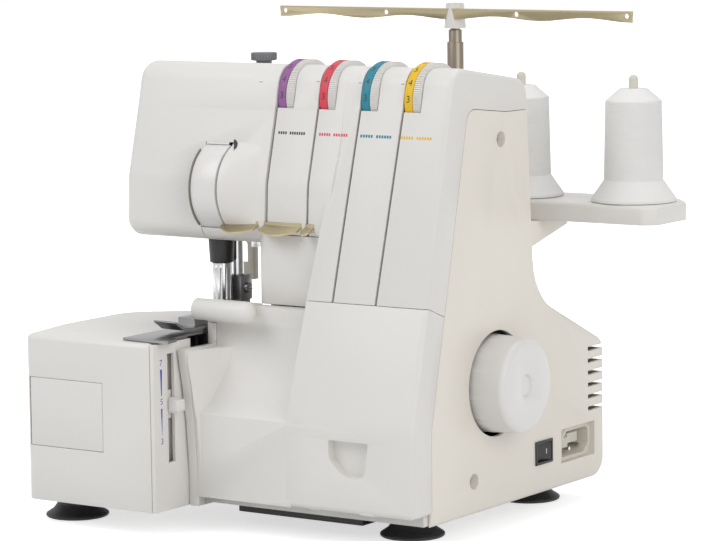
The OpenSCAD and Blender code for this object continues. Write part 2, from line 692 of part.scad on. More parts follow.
module lifter_bracket() color(steel) at_body() difference() {
    union() {
        box([-200, 94, 151], [-196, 106, 178]);
        rod_x(-208, -196, 100, 157, 2.5);
    }
    rod_x(-209, -208, 100, 157, 0.5);
}
module presser_lifter() color(cream) at_body() difference() {
    union() {
        rod_x(-206, -200.5, 100, 157, 5);
        box([-206, 97.5, 138], [-200.5, 102.5, 157]);
        box([-219.6, 97.5, 129], [-200.5, 102.5, 140]);
    }
    rod_x(-207, -200, 100, 157, 2.5 + fit);
}
module pressure_knob() color([0.45, 0.45, 0.46]) at_body() {
    rod_z(262.5, 276.8, knob_x, knob_y, 5);
    rod_z(276.4, 281.5, knob_x, knob_y, 8);
}

needle_plate_outline = [[-197.3, -47.5], [-166.3, -49.3], [-161.7, -48.2], [-162.3, -38.3], [-170.5, -30],
    [-170.5, 22], [column_x - 0.6, 22], [column_x - 0.6, 72], [-197.3, 72]];
module needle_plate() color(dark_steel) at_body() difference() {
    along_z(table_h + 0.4, table_h + 2) polygon(needle_plate_outline);
    for (x = [-188, -181.5, -175]) box([x, 4, 105], [x + 3, 24, 112]);
    box([-181.5, 27, 105], [-172.5, 34, 112]);
    for (y = plate_screw_ys) rod_z(105, 112, plate_screw_x, y, 2);
    box([-169.8, 17.6, 105], [-165, 40, 112]);
}
module feed_dogs() color(steel) at_body() {
    for (x = [-187.6, -181.1, -174.6]) box([x, 5.5, 98], [x + 2.2, 22.5, table_h + 1.2]);
    box([-187.6, 5.5, 94], [-172.4, 22.5, 98.1]);
    rod_z(60, 94.1, -180, 14, 3);
}

module lower_knife() color(steel) at_body() {
    box([-169.3, 18, 96], [-167.5, 36, table_h + 1.8]);
    box([-167.6, 18, 96], [-162.5, 23.5, 102]);
}
module upper_knife() color(dark_steel) at_body() {
    box([-167.2, 26, 104], [-165.4, 38, 113]);
    box([-167.2, 26, 85], [-165.4, 36, 105]);
    box([-168, 28, 60], [-164, 34, 87.5]);
}

module upper_looper() color(steel) at_body() {
    rod_x(-172, -150, 60, 60, 4);
    box([-172, 57, 60], [-169, 63, 86]);
    along_x(-172, -170) polygon([[57, 84], [63, 84], [60, 94], [44, 101], [43, 100], [56, 92]]);
}
module lower_looper() color(steel) at_body() {
    rod_y(36, 56, -186, 40, 4);
    box([-189, 40, 40], [-183, 43, 84]);
    along_y(40, 42) polygon([[-189, 82], [-183, 82], [-184, 92], [-174.4, 96.6], [-174.8, 97.8], [-187, 95]]);
}

// ---------- thread path ----------
// Bent thread guides: a curved tongue on a flange that sits in a shallow seat of the cover
guide_z = 177;
guides = [[-159.5, -133, 5.5], [-129, -100.5, 5.5], [-97.5, -91, 3]];
module guide_seats() for (g = guides) box([g.x - 0.1, 4, guide_z - 2.6], [g.y + 0.1, 11, guide_z + 2.6]);
module guide_plate(x0, x1, tip) {
    box([x0, 9.4, guide_z - 2.5], [x1, 11, guide_z + 2.5]);
    intersection() {
        along_x(x0, x1) polygon([[9.8, guide_z - 0.4], [-1.5, guide_z - 5.3], [-1.9, guide_z - 4.3], [9.8, guide_z + 0.8]]);
        along_z(160, 190) polygon(concat([[x0, 11], [x0, 4]], [for (i = [0 : 8]) let (t = i / 8)
            [x0 + (x1 - x0) * t, 4 - tip * sin(180 * t)]], [[x1, 11]]));
    }
}
module thread_guides() color(gold) at_body() difference() {
    for (g = guides) guide_plate(g.x, g.y, g.z);
    rod_x(-178, -156.8, take_up_y, take_up_z, take_up_r + 0.5);
}

module tension_posts() color(steel) at_body() for (x = dial_xs) {
    rod_x(x + dial_w + 0.3, x + dial_w + 9, dial_y, dial_z, 3);
    rod_x(x + 1, x + dial_w + 0.4, dial_y, dial_z, 2.5);
    for (k = [1 : 2]) rod_x(x + dial_w + 1.2 * k, x + dial_w + 1.2 * k + 0.7, dial_y, dial_z, 9);
}

module dial(i) {
    x = dial_xs[i] + 0.4;
    band = 5.2;
    difference() {
        union() {
            rod_x(x, x + band, dial_y, dial_z, dial_r);
            translate([0, dial_y, dial_z]) along_x(x + band - 0.5, x + dial_w - 0.8) polygon(
                [for (k = [0 : 2 * dial_teeth - 1]) (dial_r - 0.1 - (k % 2) * 0.7) *
                    [cos(180 * k / dial_teeth), sin(180 * k / dial_teeth)]]);
        }
        rod_x(x - 1, x + dial_w, dial_y, dial_z, 2.5 + fit);
    }
}
module tension_dial_1() color(dial_colours[0]) at_body() dial(0);
module tension_dial_2() color(dial_colours[1]) at_body() dial(1);
module tension_dial_3() color(dial_colours[2]) at_body() dial(2);
module tension_dial_4() color(dial_colours[3]) at_body() dial(3);

// ---------- looper cover ----------
pocket = [[-63.5, 53.7, 3], [-63.5, 40, 10], [-52, 28.4, 14], [-34, 28.4, 8], [-30.8, 53.7, 3]];
lip_x = -131;                 // rolled lip above the scoop
lip_y = -9;
lip_z = 124.5;
lip_r = 6.8;
function scoop_front(z) = scoop_y + sqrt(scoop_r * scoop_r - (z - scoop_z) * (z - scoop_z));

// The cover's left end flares forward to meet the rim
flare_zs = [for (i = [4 : 10]) lid_z + (crease_z - lid_z) * i / 10];
module rim_flare() intersection() {
    along_x(rim_x + seam, -145) polygon(concat([for (i = [1 : 6]) rim_front[i]], [[-30.7, flare_zs[0]]],
        [for (z = flare_zs) [scoop_front(z) + 1.6, z]], [[front_y + 1.6, 17.1]]));
    along_z(10, 110) polygon(concat(
        [for (i = [0 : 10]) let (f = 1 - i / 10) [-145 - 16.5 * f, 2.5 - 33.4 * f * f]],
        [[-145, 4], [-162, 4]]));
}

module looper_cover() color(white) at_body() difference() {
    union() {
        intersection() {
            union() {
                difference() {
                    intersection() {
                        block_shell();
                        front_of_panel_line(7.5, seam_z + 5, seam);
                        right_of_block_edge(0, 0, seam_z + 5);
                    }
                    // open underneath, over the hinge rod
                    box([-94, front_y + wall, 7], [-1, 3, 11]);
                }
                block_left_wall(50, seam_z + 5, column_y - seam);
            }
            below_seam(-seam / 2);
        }
        intersection() {
            union() {
                along_x(rim_x + seam, -85) scoop_section(7.5);
                along_x(-body_w, -100) scoop_section(rim_z + seam);
            }
            left_of_block_edge();
        }
        rim_flare();
        // rolled lip
        rod_x(-body_w, lip_x, lip_y, lip_z, lip_r);
        translate([lip_x, lip_y, lip_z]) sphere(r = lip_r);
        along_x(-body_w, lip_x) polygon([[lip_y, lip_z - lip_r], [3, lip_z - lip_r], [3, lid_z - 1],
            [column_y - seam, lid_z - 1], [column_y - seam, lid_z + 0.7], [lip_y, lip_z + lip_r]]);
        // knuckles on the hinge rod
        for (x = [-150, -40]) {
            rod_x(x, x + 10, hinge_y, hinge_z, 4);
            box([x, front_y + 1, hinge_z - 2.4], [x + 10, hinge_y, hinge_z + 4]);
        }
        // finger pocket
        along_y(front_y, front_y + 9) polygon(rounded([for (p = pocket) [p.x, p.y, p[2]]]));
    }
    along_y(front_y - 1, front_y + 7) polygon(rounded(inset(pocket, 1.6)));
    rod_x(-151, -29, hinge_y, hinge_z, 2 + fit);
}
module cover_rod() color(steel) at_body() rod_x(-158, -18, hinge_y, hinge_z, 2);

// ---------- spool stand ----------
tray_outline = [[tray_right - tray_w, 146, 6], [tray_right - tray_w + 8, 140, 6], [tray_right - 8, 140, 6],
    [tray_right, 146, 6], [tray_right, 184, 8], [tray_right - 14, 200, 12],
    [tray_right - tray_w + 14, 200, 12], [tray_right - tray_w, 184, 8]];
module spool_tray() color(white) at_body() difference() {
    soft_prism_z(tray_outline, tray_z - 12, tray_z, 2.5);
    along_z(tray_z - 13, tray_z - 3) polygon(rounded(inset(tray_outline, 2.4)));
    for (x = pin_xs) rod_z(tray_z - 5, tray_z + 1, x, stand_y, 3);
    rod_z(tray_z - 5, tray_z + 1, pole_x, stand_y, 5.4);
}
// The back wall leans; this is its face at height z
function back_wall(z) = 123.5 - (z - 128) * (123.5 - top_back.x) / (top_back.y - 128);
module tray_brackets() color(cream) at_body() for (x = [-24, -112]) difference() {
    along_x(x, x + 16) polygon([[back_wall(156), 156], [130, 157], [176, 168], [182, tray_z - 3],
        [148, tray_z - 3], [143.2, tray_z - 12.4], [back_wall(tray_z - 12.4), tray_z - 12.4]]);
    along_x(x - 1, x + 13) polygon([[128, 160], [170, 170.5], [174, 180], [150, 180], [145, 170], [128, 170]]);
}

module spool_pins() color(cream) at_body() for (x = pin_xs) {
    rod_z(tray_z - 2.9, tray_z + 77, x, stand_y, 3);
    translate([x, stand_y, tray_z + 77]) sphere(r = 3);
}
module pole_base() color(steel) at_body() difference() {
    rod_z(tray_z - 2.9, 284, pole_x, stand_y, 5.4);
    rod_z(tray_z, 285, pole_x, stand_y, 4.45);
}
module pole_middle() color(steel) at_body() difference() {
    rod_z(tray_z + 1, 292, pole_x, stand_y, 4.4);
    rod_z(tray_z + 2, 293, pole_x, stand_y, 3.35);
}
guide_hole_xs = [pole_x - 131, pole_x - 50, pole_x + 50, pole_x + 131];
module guide_bar() color(gold) at_body() {
    rod_z(tray_z + 3, 300, pole_x, stand_y, 3.3);
    translate([pole_x, stand_y, 293]) cylinder(r1 = 7, r2 = 5.6, h = 16);
    // a flat bar whose lower edge waves between its holes
    difference() {
        along_y(stand_y - 6, stand_y - 4.8) polygon(concat(
            [for (i = [0 : 36]) let (t = i / 18 - 1)
                [pole_x + t * bar_w / 2, bar_z - 3 - 1.2 * cos(720 * t)]],
            [[pole_x + bar_w / 2, bar_z + 3], [pole_x - bar_w / 2, bar_z + 3]]));
        for (x = guide_hole_xs) rod_y(stand_y - 8, stand_y - 4, x, bar_z, 1.6);
    }
}

module thread_cone(i) translate([pin_xs[i], stand_y, tray_z]) rotate_extrude($fn = 72)
    polygon([[3 + fit, 0.4], [27, 0.4], [27, 2], [18.7, 14], [17.5, 64], [14, 67], [9, 71.4], [3 + fit, 71.4]]);

module thread_cone_1() color("white") at_body() thread_cone(0);
module thread_cone_2() color("white") at_body() thread_cone(1);
module thread_cone_3() color("white") at_body() thread_cone(2);
module thread_cone_4() color("white") at_body() thread_cone(3);

module cover_screws() color(steel) at_body() {
    for (s = screw_spots) difference() {
        union() {
            rod_x(-8, -5, s.x, s.y, 4.2);
            rod_x(-16, -7.9, s.x, s.y, 2);
        }
        translate([0, s.x, s.y]) for (a = [0, 90]) rotate([a, 0, 0]) box([-6.5, -2.6, -0.5], [-4, 2.6, 0.5]);
    }
    for (y = plate_screw_ys) difference() {
        union() {
            rod_z(97, table_h + 2, plate_screw_x, y, 2);
            rod_z(table_h + 2, table_h + 3, plate_screw_x, y, 3.6);
        }
        box([plate_screw_x - 4, y - 0.5, table_h + 2.3], [plate_screw_x + 4, y + 0.5, table_h + 4]);
    }
}

base_tray();
bottom_pan();
feet();
frame_casting();
plain_bushes();
right_cover();
rear_cover();
column_cover();
tension_cover();
face_cover();
free_arm();
slider_panel();
needle_plate();
needle_guard();
thread_guides();
tension_posts();
lower_knife();
motor();
drive_belt();
switch_bezel();
power_inlet();
inlet_pins();
lifter_bracket();
spool_tray();
tray_brackets();
spool_pins();
pole_base();
cover_screws();
handwheel();
main_shaft();
shaft_pulley();
motor_pulley();
needle_bar();
needle_clamp();
needles();
take_up_lever();
upper_looper();
lower_looper();
upper_knife();
feed_dogs();
presser_bar();
presser_foot();
presser_lifter();
pressure_knob();
tension_dial_1();
tension_dial_2();
tension_dial_3();
tension_dial_4();
width_slider();
switch_rocker();
cover_rod();
looper_cover();
extension_table();
accessory_door();
pole_middle();
guide_bar();
thread_cone_1();
thread_cone_2();
thread_cone_3();
thread_cone_4();
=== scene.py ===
# %% [markdown]
# # A serger (overlock) machine
# The rigid pieces come from the CAD frame. Each one gets a finish here, and most that show get softened
# edges. Small things that a hand or an eye meets are added: dial numbers, grips, wound thread, marks and
# trim.

# %% Load the frame
import json
import math

import bmesh
import bpy
from mathutils import Matrix, Vector
from mathutils.bvhtree import BVHTree


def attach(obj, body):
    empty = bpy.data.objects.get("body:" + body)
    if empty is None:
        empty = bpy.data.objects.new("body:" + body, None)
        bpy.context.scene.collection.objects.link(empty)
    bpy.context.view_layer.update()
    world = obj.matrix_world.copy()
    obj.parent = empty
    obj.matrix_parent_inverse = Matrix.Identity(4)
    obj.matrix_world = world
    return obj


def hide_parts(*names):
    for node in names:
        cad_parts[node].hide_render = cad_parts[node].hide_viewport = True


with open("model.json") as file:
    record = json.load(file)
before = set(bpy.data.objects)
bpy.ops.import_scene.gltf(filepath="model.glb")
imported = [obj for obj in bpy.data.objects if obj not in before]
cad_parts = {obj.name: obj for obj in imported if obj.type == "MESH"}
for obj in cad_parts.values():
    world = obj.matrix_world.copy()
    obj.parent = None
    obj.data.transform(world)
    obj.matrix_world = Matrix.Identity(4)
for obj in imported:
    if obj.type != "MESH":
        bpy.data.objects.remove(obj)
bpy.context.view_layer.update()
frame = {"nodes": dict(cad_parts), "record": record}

print("CAD nodes:", len(frame["nodes"]))

# %% [markdown]
# The body's own datum is the lower front corner of its right wall, in millimetres. One function turns a
# place on the body into a place in the scene, so every number below can be read off the machine.

# %% Places on the body
DATUM = Vector((103.0, -78.05, 15.0))
NODE_BODY = {node: body for body, nodes in frame["record"]["behaviour"]["bodies"].items() for node in nodes}
NODE_SLOT = {row["node"]: row["material_slot"] for row in frame["record"]["subparts"]}


def at(x, y, z):
    return (Vector((x, y, z)) + DATUM) / 1000


print("origin of the body datum:", tuple(round(v, 4) for v in at(0, 0, 0)))

# %% [markdown]
# Two shader node groups are shared by many finishes. One gives the fine grain that a spark-eroded mould
# leaves on plastic, the other a slow drift of tone, because no moulding is one even colour.


# %% Shared surface effects
def new_group(name, inputs, outputs):
    group = bpy.data.node_groups.new(name, "ShaderNodeTree")
    for label, default in inputs:
        socket = group.interface.new_socket(label, in_out="INPUT", socket_type="NodeSocketFloat")
        socket.default_value = default
    for label, kind in outputs:
        group.interface.new_socket(label, in_out="OUTPUT", socket_type=kind)
    return group, group.nodes.new("NodeGroupInput"), group.nodes.new("NodeGroupOutput")


def build_grain():
    group, ins, outs = new_group("mould_grain", [("Size", 900.0), ("Depth", 0.5)],
                                 [("Height", "NodeSocketFloat")])
    place = group.nodes.new("ShaderNodeTexCoord")
    noise = group.nodes.new("ShaderNodeTexNoise")
    scale = group.nodes.new("ShaderNodeMath")
    scale.operation = "MULTIPLY"
    noise.inputs["Detail"].default_value = 2.0
    group.links.new(place.outputs["Object"], noise.inputs["Vector"])
    group.links.new(ins.outputs["Size"], noise.inputs["Scale"])
    group.links.new(noise.outputs["Fac"], scale.inputs[0])
    group.links.new(ins.outputs["Depth"], scale.inputs[1])
    group.links.new(scale.outputs[0], outs.inputs["Height"])
    return group


def build_drift():
    group, ins, outs = new_group("tone_drift", [("Size", 14.0), ("Low", 0.96), ("High", 1.03)],
                                 [("Factor", "NodeSocketFloat")])
    place = group.nodes.new("ShaderNodeTexCoord")
    noise = group.nodes.new("ShaderNodeTexNoise")
    spread = group.nodes.new("ShaderNodeMapRange")
    group.links.new(place.outputs["Object"], noise.inputs["Vector"])
    group.links.new(ins.outputs["Size"], noise.inputs["Scale"])
    group.links.new(noise.outputs["Fac"], spread.inputs["Value"])
    group.links.new(ins.outputs["Low"], spread.inputs["To Min"])
    group.links.new(ins.outputs["High"], spread.inputs["To Max"])
    group.links.new(spread.outputs["Result"], outs.inputs["Factor"])
    return group


GRAIN = build_grain()
DRIFT = build_drift()
print("shared groups:", GRAIN.name, DRIFT.name)


# %% One function for every finish
def finish(name, colour, roughness, metallic=0.0, grain=0.0, grain_size=900.0, drift=0.03):
    material = bpy.data.materials.new(name)
    material.use_nodes = True
    tree = material.node_tree
    shader = tree.nodes["Principled BSDF"]
    shader.inputs["Metallic"].default_value = metallic
    material.diffuse_color = (*colour, 1)
    tone = tree.nodes.new("ShaderNodeGroup")
    tone.node_tree = DRIFT
    tone.inputs["Low"].default_value = 1 - drift
    tone.inputs["High"].default_value = 1 + drift
    for target, base in (("Base Color", colour), ("Roughness", (roughness,) * 3)):
        mix = tree.nodes.new("ShaderNodeMix")
        mix.data_type = "RGBA"
        mix.blend_type = "MULTIPLY"
        mix.inputs["Factor"].default_value = 1.0
        mix.inputs["A"].default_value = (*base, 1)
        tree.links.new(tone.outputs["Factor"], mix.inputs["B"])
        tree.links.new(mix.outputs["Result"], shader.inputs[target])
    if grain:
        height = tree.nodes.new("ShaderNodeGroup")
        height.node_tree = GRAIN
        height.inputs["Size"].default_value = grain_size
        height.inputs["Depth"].default_value = grain
        bump = tree.nodes.new("ShaderNodeBump")
        bump.inputs["Distance"].default_value = 0.0002
        tree.links.new(height.outputs["Height"], bump.inputs["Height"])
        tree.links.new(bump.outputs["Normal"], shader.inputs["Normal"])
    return material


DIAL_COLOURS = {"dial_purple": (0.27, 0.10, 0.28), "dial_red": (0.66, 0.05, 0.08),
                "dial_teal": (0.005, 0.22, 0.30), "dial_yellow": (0.80, 0.50, 0.005)}
FINISH = {
    "white_plastic": finish("white_plastic", (0.755, 0.735, 0.70), 0.42, grain=0.35),
    "beige_plastic": finish("beige_plastic", (0.80, 0.755, 0.68), 0.45, grain=0.4),
    "ivory_plastic": finish("ivory_plastic", (0.66, 0.625, 0.545), 0.5, grain=0.3),
    "clear_white_gloss": finish("clear_white_gloss", (0.76, 0.745, 0.72), 0.3),
    "black_plastic": finish("black_plastic", (0.010, 0.009, 0.008), 0.45, grain=0.3),
    "black_rubber": finish("black_rubber", (0.02, 0.02, 0.022), 0.55, grain=0.6, grain_size=500),
    "grey_plastic": finish("grey_plastic", (0.2, 0.2, 0.21), 0.45, grain=0.3),
    "gold_metal": finish("gold_metal", (0.40, 0.345, 0.22), 0.34, metallic=0.8),
    "pole_metal": finish("pole_metal", (0.24, 0.205, 0.165), 0.3, metallic=0.9),
    "bright_steel": finish("bright_steel", (0.6, 0.6, 0.61), 0.22, metallic=1.0),
    "dark_steel": finish("dark_steel", (0.27, 0.265, 0.27), 0.33, metallic=0.9),
    # paler than the white plastic: partly the channel's own pale colour, partly painted light for light
    # reaching into the slot
    "slot_liner_painted_light": finish("slot_liner_painted_light", (0.88, 0.85, 0.83), 0.6, grain=0.3),
    # a dark brown that is painted shade, for the groove beside the take-up lever
    "groove_painted_shade": finish("groove_painted_shade", (0.24, 0.215, 0.185), 0.6),
    "knife_steel": finish("knife_steel", (0.42, 0.42, 0.43), 0.28, metallic=1.0),
    "casting_alu": finish("casting_alu", (0.42, 0.43, 0.44), 0.6, metallic=0.6, grain=1.0, grain_size=400),
    "bush_bronze": finish("bush_bronze", (0.5, 0.36, 0.17), 0.4, metallic=1.0),
    "motor_paint": finish("motor_paint", (0.03, 0.03, 0.035), 0.4),
    "thread_white": finish("thread_white", (0.83, 0.82, 0.80), 0.8, grain=1.2, grain_size=1500),
    "mark_blue": finish("mark_blue", (0.03, 0.08, 0.42), 0.5),
    # dark for the dial numbers and label prints, and also painted shade in the gap above the take-up lever
    "dark_print_and_shade": finish("dark_print_and_shade", (0.02, 0.02, 0.03), 0.5),
}
for slot_name, colour in DIAL_COLOURS.items():
    FINISH[slot_name] = finish(slot_name, colour, 0.5, grain=0.2)
print("finishes:", len(FINISH))

# %% [markdown]
# A moulded edge is never sharp. Most CAD pieces that show are copied, their loose triangles are merged back
# into large flat faces, and a narrow bevel with smooth shading catches the light along every sharp edge.


# %% Copies with softened edges
FLAT_ANGLE = math.radians(0.5)    # faces that differ by less are merged
EDGE_ANGLE = math.radians(28.0)   # edges sharper than this get a bevel
SHADE_ANGLE = 35                  # edges sharper than this stay crisp in shading


def mesh_from(bm, name, finish_name=None):
    """A mesh with outward faces from bm, which is freed."""
    bmesh.ops.recalc_face_normals(bm, faces=bm.faces)
    mesh = bpy.data.meshes.new(name)
    bm.to_mesh(mesh)
    bm.free()
    if finish_name:
        mesh.materials.append(FINISH[finish_name])
    return mesh


def refined(node, width):
    """A copy of a CAD piece with its edges softened by width, in millimetres."""
    mesh = frame["nodes"][node].data.copy()
    bm = bmesh.new()
    bm.from_mesh(mesh)
    bmesh.ops.remove_doubles(bm, verts=bm.verts, dist=1e-6)
    bmesh.ops.dissolve_limit(bm, angle_limit=FLAT_ANGLE, verts=bm.verts, edges=bm.edges)
    edges = [e for e in bm.edges if len(e.link_faces) == 2 and e.calc_face_angle(0) > EDGE_ANGLE]
    bmesh.ops.bevel(bm, geom=edges, offset=width / 1000, segments=2, profile=0.5,
                    affect="EDGES", clamp_overlap=True)
    bm.to_mesh(mesh)
    bm.free()
    return add_piece(node + "_soft", mesh, node)


def add_piece(name, mesh, node=None, body=None, slot=None, sharp=SHADE_ANGLE):
    """Put a mesh in the scene: it replaces node, or else it is added to body with a slot of its own."""
    piece = bpy.data.objects.new(name, mesh)
    bpy.context.scene.collection.objects.link(piece)
    slot = slot or NODE_SLOT[node]
    if not mesh.materials or mesh.materials[0] not in FINISH.values():
        mesh.materials.clear()
        mesh.materials.append(FINISH[slot])
    mesh.set_sharp_from_angle(angle=math.radians(sharp))
    for face in mesh.polygons:
        face.use_smooth = True
    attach(piece, body or NODE_BODY[node])
    if node:
        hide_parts(node)
    return piece


SOFT = {"right_cover": 0.5, "rear_cover": 0.5, "tension_cover": 0.4, "face_cover": 0.45, "column_cover": 0.4,
        "looper_cover": 0.5, "extension_table": 0.5, "slider_panel": 0.4, "spool_tray": 0.5, "free_arm": 0.5,
        "handwheel": 0.6, "take_up_lever": 0.5, "needle_plate": 0.25, "needle_guard": 0.6,
        "presser_foot": 0.35, "presser_lifter": 0.8, "width_slider": 0.6, "switch_rocker": 0.4,
        "switch_bezel": 0.35, "power_inlet": 0.4, "pressure_knob": 0.6, "guide_bar": 0.3,
        "tray_brackets": 0.5, "feet": 0.4, "accessory_door": 0.3, "bottom_pan": 0.6, "needle_clamp": 0.25,
        "upper_knife": 0.2, "lower_knife": 0.15, "thread_guides": 0.2, "lifter_bracket": 0.3,
        "frame_casting": 0.8, "spool_pins": 0.3, "pole_base": 0.3, "pole_middle": 0.3}
soft_pieces = {node: refined(node, width) for node, width in SOFT.items()}
for node, source in frame["nodes"].items():
    if node not in SOFT:
        source.data.materials.clear()
        source.data.materials.append(FINISH[NODE_SLOT[node]])

# the lever's right side is drawn in a little, which leaves a narrow gap beside it
LEVER_TRIM, LEVER_SIDE_X = 1.3, -158.6
for vertex in soft_pieces["take_up_lever"].data.vertices:
    if vertex.co.x > at(LEVER_SIDE_X, 0, 0).x:
        vertex.co.x -= LEVER_TRIM / 1000
print("softened pieces:", len(soft_pieces))

# %% [markdown]
# ## Tension dials
# Each dial is two drums side by side: a smooth band in the dial's colour with its numbers, and a white grip.
# The numbers are thin raised shapes, bent to the drum.

# %% Two-tone dials with numbers
DIAL_X, DIAL_PITCH, DIAL_COUNT = -127.7, 31.3, 4
DIAL_XS = [DIAL_X + i * DIAL_PITCH for i in range(DIAL_COUNT)]
DIAL_Y, DIAL_Z, DIAL_R = 46.5, 256.0, 22.95
DIAL_BORE, DIAL_STEPS, RIM = 3.0, 144, 0.35
BAND_X0, BAND_X1, GRIP_X1, GRIP_R = 1.2, 6.8, 12.7, 22.3   # along x, measured from DIAL_XS
# the numbers' size, their spacing round the band, and where the one that faces the front sits
NUMBER_SIZE, NUMBER_STEP, NUMBER_START, FRONT_NUMBER = 6.0, 10.4, 1.5, 3
NUMBER_SUNK, NUMBER_PROUD = -0.15, 0.04


def glyph(text, size):
    """Points and faces of a flat figure, centred on the origin."""
    curve = bpy.data.curves.new("glyph", "FONT")
    curve.body = text
    curve.size = size
    curve.resolution_u = 3
    curve.align_x = "CENTER"
    curve.align_y = "CENTER"
    thing = bpy.data.objects.new("glyph", curve)
    bpy.context.scene.collection.objects.link(thing)
    flat = bpy.data.meshes.new_from_object(thing.evaluated_get(bpy.context.evaluated_depsgraph_get()))
    points = [(v.co.x, v.co.y) for v in flat.vertices]
    faces = [tuple(p.vertices) for p in flat.polygons]
    bpy.data.objects.remove(thing)
    bpy.data.curves.remove(curve)
    bpy.data.meshes.remove(flat)
    return points, faces


def raised(name, patches, body, finish_name):
    """One closed thin piece from patches of (lower points, upper points, faces)."""
    bm = bmesh.new()
    for low, high, faces in patches:
        bottom = [bm.verts.new(p) for p in low]
        top = [bm.verts.new(p) for p in high]
        edges = {}
        for face in faces:
            bm.faces.new([top[i] for i in face])
            bm.faces.new([bottom[i] for i in reversed(face)])
            for a, b in zip(face, face[1:] + face[:1]):
                edges[(a, b)] = edges.get((a, b), 0) + 1
        for a, b in edges:
            if (b, a) not in edges:
                bm.faces.new([bottom[a], bottom[b], top[b], top[a]])
    piece = bpy.data.objects.new(name, mesh_from(bm, name, finish_name))
    bpy.context.scene.collection.objects.link(piece)
    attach(piece, body)
    return piece


def drum(name, x0, x1, radius):
    """A ring about the dial axis, its rims rounded a little."""
    profile = [(x0, DIAL_BORE), (x0, radius - RIM), (x0 + RIM * 0.3, radius - RIM * 0.3), (x0 + RIM, radius),
               (x1 - RIM, radius), (x1 - RIM * 0.3, radius - RIM * 0.3), (x1, radius - RIM), (x1, DIAL_BORE)]
    bm = bmesh.new()
    rings = []
    for k in range(DIAL_STEPS):
        a = 2 * math.pi * k / DIAL_STEPS
        ring = [at(x, DIAL_Y + r * math.cos(a), DIAL_Z + r * math.sin(a)) for x, r in profile]
        rings.append([bm.verts.new(point) for point in ring])
    for k, ring in enumerate(rings):
        following = rings[(k + 1) % DIAL_STEPS]
        for j in range(len(profile)):
            n = (j + 1) % len(profile)
            bm.faces.new([ring[j], ring[n], following[n], following[j]])
    return mesh_from(bm, name)


def on_drum(x, u, v, lift):
    """The place on a dial at (u, v) of an unrolled band that starts at its front."""
    angle = v / DIAL_R
    reach = DIAL_R + lift
    return at(x + u, DIAL_Y - reach * math.cos(angle), DIAL_Z + reach * math.sin(angle))


for i, x in enumerate(DIAL_XS):
    node = "tension_dial_%d" % (i + 1)
    add_piece(node + "_band", drum(node + "_band", x + BAND_X0, x + BAND_X1, DIAL_R), node)
    add_piece(node + "_grip", drum(node + "_grip", x + BAND_X1, x + GRIP_X1, GRIP_R), None, NODE_BODY[node],
              "white_plastic")
    patches = []
    for number in range(10):
        points, faces = glyph(str(number), NUMBER_SIZE)
        turn = (number - FRONT_NUMBER) * NUMBER_STEP + NUMBER_START
        middle = x + (BAND_X0 + BAND_X1) / 2
        patches.append(([on_drum(middle, u, v + turn, NUMBER_SUNK) for u, v in points],
                        [on_drum(middle, u, v + turn, NUMBER_PROUD) for u, v in points], faces))
    raised(node + "_numbers", patches, NODE_BODY[node], "dark_print_and_shade")
print("dials:", len(DIAL_XS))

# %% [markdown]
# ## Printed marks
# Prints are thin raised shapes that lie on the moulding below them. Each point is dropped onto the surface,
# so a print follows a leaning or rounded face.


# %% Marks on the front, the slider strip and the switch
DROP = 0.03                                # metres from which a point is dropped
PRINT_SUNK, PRINT_PROUD = 0.0001, 0.00005  # metres below and above the surface


def surface_of(thing):
    """A tree of a piece's faces, for dropping points onto it."""
    bm = bmesh.new()
    bm.from_mesh(thing.data)
    tree = BVHTree.FromBMesh(bm)
    bm.free()
    return tree


def stamp(name, shapes, target, place, right, up, finish_name, body="machine"):
    """Thin raised shapes in the plane of right and up, dropped onto the target."""
    right = Vector(right).normalized()
    up = Vector(up).normalized()
    out = right.cross(up)
    tree = surface_of(target)
    patches = []
    for points, faces in shapes:
        spots = []
        for u, v in points:
            start = place + (right * u + up * v) / 1000 + out * DROP
            hit = tree.ray_cast(start, -out)[0]
            spots.append(hit if hit else start - out * DROP)
        patches.append(([p - out * PRINT_SUNK for p in spots], [p + out * PRINT_PROUD for p in spots], faces))
    return raised(name, patches, body, finish_name)


def bar(u0, v0, u1, v1):
    return [(u0, v0), (u1, v0), (u1, v1), (u0, v1)], [(0, 1, 2, 3)]


def moved(shape, du, dv):
    return [(u + du, v + dv) for u, v in shape[0]], shape[1]


RIGHT, BACK, UP = (1, 0, 0), (0, 1, 0), (0, 0, 1)
# finish, left and right ends, and the dash that is left out between two words
LABELS = [("dark_print_and_shade", -123.6, -103.0, 4), ("dial_red", -92.8, -71.5, 5), ("dial_teal", -62.5, -39.3, 5),
          ("dial_yellow", -33.0, -10.2, 5)]
LABEL_DASHES, LABEL_HALF, LABEL_Z = 12, 0.85, 234.6
TICK_Z = 266.5
cover = bpy.data.objects["tension_cover_soft"]
for finish_name, x0, x1, gap in LABELS:
    step = (x1 - x0) / LABEL_DASHES
    dashes = [bar(k * step + 0.25, -LABEL_HALF, (k + 1) * step - 0.3, LABEL_HALF)
              for k in range(LABEL_DASHES) if k != gap]
    stamp("label_" + finish_name, dashes, cover, at(x0, 10, LABEL_Z), RIGHT, UP, finish_name)
ticks = [bar(x - 3.2, -0.2, x - 0.6, 0.2) for x in DIAL_XS]
stamp("dial_ticks", ticks, cover, at(0, 10, TICK_Z), RIGHT, UP, "grey_plastic")

